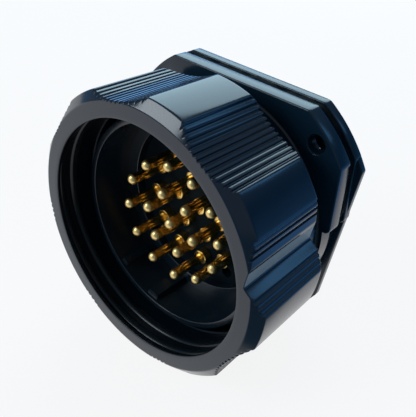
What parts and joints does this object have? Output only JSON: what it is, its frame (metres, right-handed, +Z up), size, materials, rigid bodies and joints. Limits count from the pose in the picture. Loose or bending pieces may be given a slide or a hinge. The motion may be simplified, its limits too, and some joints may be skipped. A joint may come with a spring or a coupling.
{
  "type": "circular multi-pin panel connector",
  "caption": "Round multi-way panel connector, male half: gold pins in a keyed black barrel, with a ribbed turning coupling ring and an eared flange with a gasket.",
  "frame": {"origin": "on the connector's axis, at the rear face of the backing plate, where the panel lies", "axes": "+Y along the axis from the mating end to the panel side, +Z up towards the flange's two ears, +X to the right seen from the mating end"},
  "size_m": [0.0668, 0.0494, 0.0668],
  "materials": {
    "shell_plastic": "glossy moulded black, faintly blue",
    "ring_plastic": "glossy moulded black, faintly blue",
    "insert_plastic": "satin moulded black",
    "gasket_rubber": "matt black rubber",
    "seal_rubber": "matt black rubber",
    "spring_steel": "dark spring steel",
    "contact_gold": "gold plated brass"
  },
  "bodies": {
    "body": {"shell": "shell_plastic", "ring_circlip": "spring_steel", "mating_seal": "seal_rubber", "flange_gasket": "gasket_rubber", "backing_plate": "shell_plastic", "insert": "insert_plastic", "insert_retainer": "ring_plastic", "contact_01": "contact_gold", "contact_02": "contact_gold", "contact_03": "contact_gold", "contact_04": "contact_gold", "contact_05": "contact_gold", "contact_06": "contact_gold", "contact_07": "contact_gold", "contact_08": "contact_gold", "contact_09": "contact_gold", "contact_10": "contact_gold", "contact_11": "contact_gold", "contact_12": "contact_gold", "contact_13": "contact_gold", "contact_14": "contact_gold", "contact_15": "contact_gold", "contact_16": "contact_gold", "contact_17": "contact_gold", "contact_18": "contact_gold", "contact_19": "contact_gold"},
    "ring": {"coupling_ring": "ring_plastic"}
  },
  "joints": [
    {"name": "ring_turn", "type": "hinge", "parent": "body", "child": "ring", "pos_m": [0, -0.02, 0], "axis": [0, 1, 0], "continuous": true}
  ]
}
